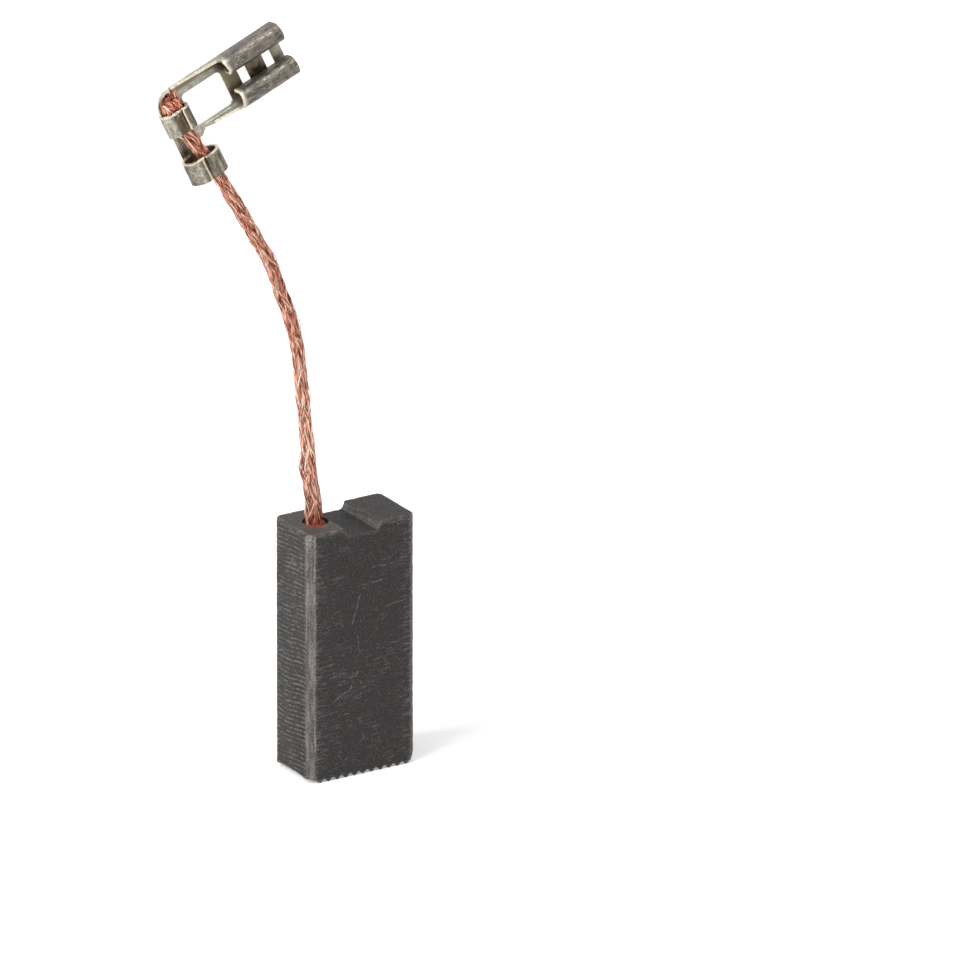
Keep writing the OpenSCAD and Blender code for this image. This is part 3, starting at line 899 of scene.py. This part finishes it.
bm = bmesh.new()
rings = bmesh.ops.create_circle(bm, cap_ends=False, segments=64, radius=POWDER_R * MM)
bmesh.ops.translate(bm, verts=rings["verts"], vec=(HOLE_AT + Vector((0, 0, POWDER_TOP - 0.35))) * MM)
rim = bm.edges[:]
for share, climb in POWDER_RINGS:
    grown = bmesh.ops.extrude_edge_only(bm, edges=rim)["geom"]
    ring = [g for g in grown if isinstance(g, bmesh.types.BMVert)]
    rim = [g for g in grown if isinstance(g, bmesh.types.BMEdge)
           and all(v in ring for v in g.verts)]
    for v in ring:
        out = (v.co / MM - HOLE_AT).xy.normalized() * POWDER_R * share
        v.co = Vector((HOLE_AT.x + out.x, HOLE_AT.y + out.y, v.co.z / MM + climb)) * MM
for v in bm.verts:
    v.co.z += 0.1 * MM * noise.noise(v.co / MM * 3.2)
bmesh.ops.holes_fill(bm, edges=[e for e in bm.edges if e.is_boundary], sides=80)
bmesh.ops.recalc_face_normals(bm, faces=bm.faces)
add_piece("powder_plug", bm, [powder_skin], ["tamping_plug"], sharp=80)

# %% [markdown]
# ## Finish: tinned brass
# The terminal is stamped from brass strip that was tinned first. One even grey would look like
# plastic, because worn tin has three kinds of skin. The flats are a soft grey with olive clouds and
# fine streaks from rolling the strip. The two curls are darker and mottled, with small painted
# glints. The crimped barrels are bright where the dies rubbed them and brown where they weren't,
# and the bands across them also carry painted highlights and painted shade. All patterns lie in
# the terminal's own frame, so that the streaks follow the strip.

# %% Tin: patterns
TURNED = {"at": tuple(c * MM for c in TERMINAL_AT), "turned": tuple(TERMINAL_TURN)}

tin = Finish("tinned_brass", **TURNED)
clouds = tin.between(tin.noise(0.9, 4, 0.65), 0.35, 0.65)
mottle = tin.noise(3.4, 4, 0.75)
streak = tin.noise(2.2, 3, 0.6, stretch=(0.35, 3, 3))
pressed = tin.noise(0.85, 4, 0.7, stretch=(1, 0.35, 1), shift=(2, 5, 1))
# painted glints on the curls
painted_glint = tin.between(tin.noise(5, 3, 0.7, stretch=(0.5, 1.6, 1.6), shift=(1, 8, 3)), 0.6, 0.68)

# %% Tin: three skins
flats = tin.layered(tin.blend(clouds, linear(146, 143, 132), linear(176, 174, 162)), [
    (tin.between(streak, 0.52, 0.7), 0.5, (196, 194, 184)),
    (tin.between(mottle, 0.52, 0.7), 0.4, (112, 104, 84))])
curls = tin.layered(tin.blend(clouds, linear(84, 78, 70), linear(119, 113, 104)), [
    (tin.between(mottle, 0.48, 0.62), 0.75, (66, 57, 50)),
    (tin.between(streak, 0.5, 0.7), 0.5, (160, 154, 144)),
    (painted_glint, 0.6, (206, 200, 188))])
# the barrels' brightness: the dies' rub, with painted highlight and painted shade in bands
rub_and_painted_light = tin.math("ADD", tin.stored("rub_and_painted_light"), tin.between(pressed, 0.34, 0.66, -0.35, 0.35), clamp=True)
barrels = tin.layered(tin.blend(rub_and_painted_light, linear(80, 71, 53), linear(188, 182, 170)), [
    (tin.between(mottle, 0.47, 0.6), 0.6, (78, 68, 52))])

# %% [markdown]
# ## Finish: tinned brass, put together
# The mesh stores which skin a spot has, the painted shade in the floor's corners, and how deep it
# lies inside the folds, which is darkened as painted shade. A few cut edges, the seams and the open
# channel get painted light. The sheared faces show the bare yellowish metal, and take a material of
# their own.

# %% Tin: put together
colour = tin.blend(tin.stored("curled"), flats, curls)
colour = tin.blend(tin.stored("barrel"), colour, barrels)
colour = tin.layered(colour, [
    # painted shade in the floor's corners, between the curls and along the flanges
    (tin.stored("floor_shade"), 0.6, (106, 90, 60)),
    # painted shade deep in the folds
    (tin.between(tin.stored("occlusion"), 0.22, 0.75), 0.8, (88, 72, 44)),
    # painted light: highlights on cut edges and seams, and light in the channel
    (tin.stored("painted_light"), 1, (238, 226, 204))])
tin_rough = tin.between(mottle, 0.3, 0.7, 0.27, 0.5)
tin_bump = tin.bump(streak, 0.012, 0.5, tin.bump(mottle, 0.016, 0.6))
tin_skin = tin.finish(base_color=colour, metallic=0.7, roughness=tin_rough, normal=tin_bump)

sheared = Finish("sheared_edge", **TURNED)
colour = sheared.blend(sheared.between(sheared.noise(5, 3), 0.35, 0.65), linear(196, 188, 166),
                       linear(240, 233, 214))
edge_skin = sheared.finish(base_color=colour, metallic=1.0, roughness=0.3,
                           normal=sheared.bump(sheared.noise(12, 2), 0.01, 0.5))

# %% [markdown]
# ## The terminal
# The CAD sheet has the real folds. Modelling them again could only lose them, so a copy is dressed.
# Its sheared faces take their own material, picked by where they lie and which way they look. The
# sharp edges get the small radius that a press leaves, and slices give the sheet a grid, with a few
# more beside the two creases that the die left across the crimp.

# %% Terminal: rounded edges and grid
CRIMP_ENDS, RING_ENDS = (-1.5, 0.9), (-6.9, -4.45)  # of the barrels, along the terminal's Y
EDGE_ROUND = 0.035
SHEET_STEP = 0.25
SHEET_SPAN = ((term_x, -2.0, 13.5), (term_y, RING_ENDS[0], 2.9), (term_z, 0.0, 2.95))
CREASES, CREASE_WIDE = (-0.6, -0.02), 0.1


def is_sheared(face):
    """Whether a face is a cut through the sheet, from its place and direction in the terminal."""
    x, y, z = to_terminal(face.calc_center_median() / MM)
    n = np.array(face.normal) @ np.array(turn)
    barrel = abs(x) < 2.5 and y < 1.0
    if abs(n[0]) > 0.9:
        return not barrel and (x > 2.5 or z < 0.31)
    if n[2] > 0.9:
        return z > 0.6 and x < 6.6 and not barrel
    if abs(n[1]) > 0.9:
        barrel_end = barrel and min(abs(y - end) for end in CRIMP_ENDS + RING_ENDS) < 0.02
        return barrel_end or (z < 0.31 and abs(y) < 2.5)
    return False


bm = solid_of("terminal")
for face in bm.faces:
    face.material_index = 1 if is_sheared(face) else 0
bmesh.ops.bevel(bm, geom=sharp_edges(bm, 40), offset=EDGE_ROUND * MM, offset_type="OFFSET",
                segments=2, profile=0.5, affect="EDGES", clamp_overlap=True, material=-1)
for axis, a, b in SHEET_SPAN:
    start = float(np.dot(axis, TERMINAL_AT))
    cuts = steps(a, b, SHEET_STEP)
    if axis is term_x:
        cuts = sorted(cuts + [at + d for at in CREASES for d in (-CREASE_WIDE, 0, CREASE_WIDE)])
    slice_along(bm, axis, [(start + p) * MM for p in cuts])
bm.normal_update()
print(f"terminal: {len(bm.verts)} points")

# %% [markdown]
# ## How deep in the folds each spot lies
# Little light reaches deep into the folds, and the finish paints that shade in. Painting it by hand
# would miss the back, so it is measured: from each point, rays go out evenly to all sides, and the
# share that soon meets metal says how deep in the folds the point lies.

# %% Terminal: occlusion
RAYS, RAY_LENGTH = 36, 4                 # how many there are, and their reach in millimetres

tree = BVHTree.FromBMesh(bm)
golden = math.pi * (3 - math.sqrt(5))
rays = []
for k, up in enumerate(np.linspace(-0.97, 0.97, RAYS)):
    out = math.sqrt(1 - up * up)
    rays.append(Vector((out * math.cos(golden * k), out * math.sin(golden * k), up)))
occlusion = []
for v in bm.verts:
    start, blocked, tried = v.co + v.normal * 0.03 * MM, 0, 0
    for ray in rays:
        if ray.dot(v.normal) > 0.15:
            tried += 1
            blocked += tree.ray_cast(start, ray, RAY_LENGTH * MM)[0] is not None
    occlusion.append(blocked / max(1, tried))
print(f"shelter: {sum(occlusion) / len(occlusion):.2f} on average")

# %% [markdown]
# ## Edges with a painted highlight
# Some cut edges get a painted highlight: the curls' inner ends, and the upper ends of the two
# barrels. Their faces go in a search tree, so that any point can ask how near it is to one.

# %% Terminal: highlighted edges
HIGHLIGHT_REACH = 0.2

highlit = KDTree(len(bm.faces))
for face in bm.faces:
    x, y, z = to_terminal(face.calc_center_median() / MM)
    inner_end = 6.5 < x < 8 and z > 0.35
    top_end = abs(x) < 2.5 and min(abs(y - CRIMP_ENDS[1]), abs(y - RING_ENDS[1])) < 0.1
    if face.material_index == 1 and (inner_end or top_end):
        highlit.insert(face.calc_center_median() / MM, face.index)
highlit.balance()
edge_highlight = [1 - highlit.find(v.co / MM)[2] / HIGHLIGHT_REACH for v in bm.verts]
print(f"shining edges: {sum(c > 0 for c in edge_highlight)} points")

# %% [markdown]
# ## The terminal's regions
# Which skin a spot has follows from its place in the terminal's frame, with soft borders: the
# barrels, the curls, the painted shade in the floor's corners, and the painted light. The wings get
# a painted highlight where they meet in the seams. The open channel between the two barrels gets
# painted light, brighter and with less painted shade towards the crimp.

# %% Terminal: regions
CRIMP_SEAM, RING_SEAM = 0.35, -0.2       # where the wings meet, from the middle
BARRELS_PART = -2.5                      # above it is the crimp, below it the ring
CHANNEL = (-4.4, -1.5)                   # the open channel between them
# How bright the barrels are, from 0 to 1, at places across the terminal: partly rubbed by the dies,
# partly painted highlight along the folds and painted shade beside the seams.
CRIMP_RUB_AND_LIGHT = (-1.6, -0.9, -0.55, -0.1, 0.3, 0.55, 1.6), (0.65, 0.9, 0.2, 0.1, 0.05, 0.35, 0.2)
RING_RUB_AND_LIGHT = (-1.7, -1.2, -0.8, -0.35, -0.2, 0.2, 2.2), (0.1, 0.35, 0.8, 0.1, 0.05, 0.4, 0.25)

regions = {name: [] for name in ("curled", "barrel", "floor_shade", "painted_light", "rub_and_painted_light")}
regions["occlusion"] = occlusion
places = [to_terminal(v.co / MM) for v in bm.verts]
for i, (x, y, z) in enumerate(places):
    on_crimp, in_channel = y > BARRELS_PART, CHANNEL[0] < y < CHANNEL[1]
    down_channel = ramp(y, -2.6, -4.2)
    barrel = ramp(abs(x), 2.5, 2.3) * ramp(y, 1.15, 0.95)
    regions["barrel"].append(barrel)
    regions["curled"].append(ramp(x, 6.7, 7.1) * ramp(z, 0.25, 0.4))

    # painted shade on the floor between the curls and along the flanges
    floor_side = ramp(z, 0.42, 0.32)
    between_curls = ramp(x, 5.9, 6.3) * ramp(x, 11.4, 10.8) * ramp(abs(y), 2.3, 1.9)
    along_flange = ramp(y, 1.9, 2.15) * ramp(x, 6.9, 6.5)
    regions["floor_shade"].append(floor_side * max(between_curls, along_flange))

    from_seam = x - (CRIMP_SEAM if on_crimp else RING_SEAM)
    # painted highlight on the wing's edge at each seam
    seam_highlight = barrel * (0.02 < from_seam < 0.2) * (z > 1.8) * (1 if on_crimp else 0.6)
    # painted light in the open channel
    lit_channel = 0.45 * ramp(y, -3.9, -2.6) * (y < CHANNEL[1]) * ramp(x, 0.4, 0.0)
    regions["painted_light"].append(max(seam_highlight, lit_channel, edge_highlight[i]))
    # in the channel: painted light towards the crimp, and less of the painted shade of the folds
    if in_channel:
        regions["rub_and_painted_light"].append(0.85 - 0.5 * down_channel)
        occlusion[i] *= 0.3 + 0.7 * down_channel
    else:
        regions["rub_and_painted_light"].append(np.interp(x, *(CRIMP_RUB_AND_LIGHT if on_crimp else RING_RUB_AND_LIGHT)))
print("regions:", {name: round(float(np.mean(values)), 2) for name, values in regions.items()})

# %% [markdown]
# ## The terminal's unevenness
# Pressed sheet is never quite flat, and that is what makes the reflections on it look alive. Every
# point moves inwards a little, so the sheet stays inside its real size. The barrels get more, as
# facets round them, and the crimp its two creases. Deep inside the folds nothing moves, because the
# sheet lies on itself there.

# %% Terminal: piece
WAVE_DEPTH, FACET_DEPTH, CREASE_DEPTH = 0.014, 0.09, 0.07
BARREL_MIDDLE = 1.25                     # its height above the sheet's back

moves = []
for v, (x, y, z), barrel, hidden in zip(bm.verts, places, regions["barrel"], occlusion):
    around = math.atan2(z - BARREL_MIDDLE, x)
    facets = noise.noise(Vector((around * 1.5, y * 0.25, 4)))
    facets += 0.5 * noise.noise(Vector((around * 3.4, y * 0.5, 9)))
    inward = WAVE_DEPTH * max(0.0, 0.4 + noise.noise(v.co / MM * 1.1))
    inward += FACET_DEPTH * barrel * max(0.0, 0.1 + facets)
    if y > BARRELS_PART and z > 1.4:
        crease = max(max(0, 1 - abs(x - at) / 0.12) for at in CREASES)
        inward += CREASE_DEPTH * barrel * crease
    moves.append(v.normal * ((0.0 if hidden > 0.5 else -inward) * MM))
for v, move in zip(bm.verts, moves):
    v.co += move
terminal = add_piece("terminal_sheet", bm, [tin_skin, edge_skin], ["terminal"],
                     sharp=38)
for name, values in regions.items():
    new_float(terminal.data, name, values)

# %% [markdown]
# ## The lead's cut end
# Past the crimp the braid was cut with shears, so its wires spring apart. Most of them lean against
# the sheet, and the rest turn over towards the open side in short hooks. Particle hair could grow
# there, but each strand would be hard to steer. So each is a short smooth line from the crimp's
# mouth to a random end, and all of them become tubes at once.

# %% Cut end
HOOKED, LEANING = 60, 100                # strands of each kind
STRAND_R = 0.05
strands, strand_shades, strand_painted_shade = [], [], []
rng = np.random.default_rng(11)


def strand(points, tone):
    """Adds a strand through points of the terminal's frame."""
    line = evenly(through(points, 6), 0.12)[1]
    strands.append(from_terminal(line))
    strand_shades.append(np.full(len(line), ramp(rng.normal(tone, 0.2), 0, 1)))
    # painted shade on the strands near the crimp's mouth
    strand_painted_shade.append(np.clip((1.35 - line[:, 1]) / 0.5, 0, 1) * rng.uniform(0.3, 1))


for k in range(HOOKED):
    x, z = rng.uniform(-1.0, 0.35), rng.uniform(1.0, 1.9)
    top, lean, bend = rng.uniform(1.3, 2.0), rng.uniform(0, 0.2), rng.uniform(0.15, 0.5)
    strand([(x, 0.3, z), (x + 0.3 * lean, 0.5 * top, z + 0.05), (x + lean, top, z + 0.35 * bend),
            (x + 1.5 * lean, top - 0.3 * bend, z + bend),
            (x + 2 * lean, top - rng.uniform(0.5, 1.2) * bend, z + 1.25 * bend)], 0.35)
for k in range(LEANING):
    x, z = rng.uniform(-1.0, 1.0), rng.uniform(0.55, 1.4)
    end = (0.3 + 0.9 * x + rng.normal(0, 0.1), 2.25 + 0.3 * x + rng.uniform(-0.25, 0.1),
           rng.uniform(0.45, 1.2))
    strand([(x, 0.3, z), (x + 0.05, 0.9, z), ((x + end[0]) / 2 + 0.05, 1.5, (z + end[2]) / 2),
            end], 0.4)
cut_end = add_piece("cut_end", tubes("cut_end", strands, STRAND_R), [copper_skin],
                    sharp=60)
store_on_tubes(cut_end.data, "shade", strand_shades)
store_on_tubes(cut_end.data, "painted_gap_shade", strand_painted_shade)

# %% [markdown]

# %% [markdown]
# ## Sizes
# The dressed brush has to stay in the CAD's box. The boxes of the CAD and of the dressed brush are
# both written out, to be compared.

# %% Write the sizes
visual_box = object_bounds()
for name, corners in (("CAD", cad_box), ("visual", visual_box)):
    print(name, [[round(c / MM, 2) for c in corner] for corner in corners])
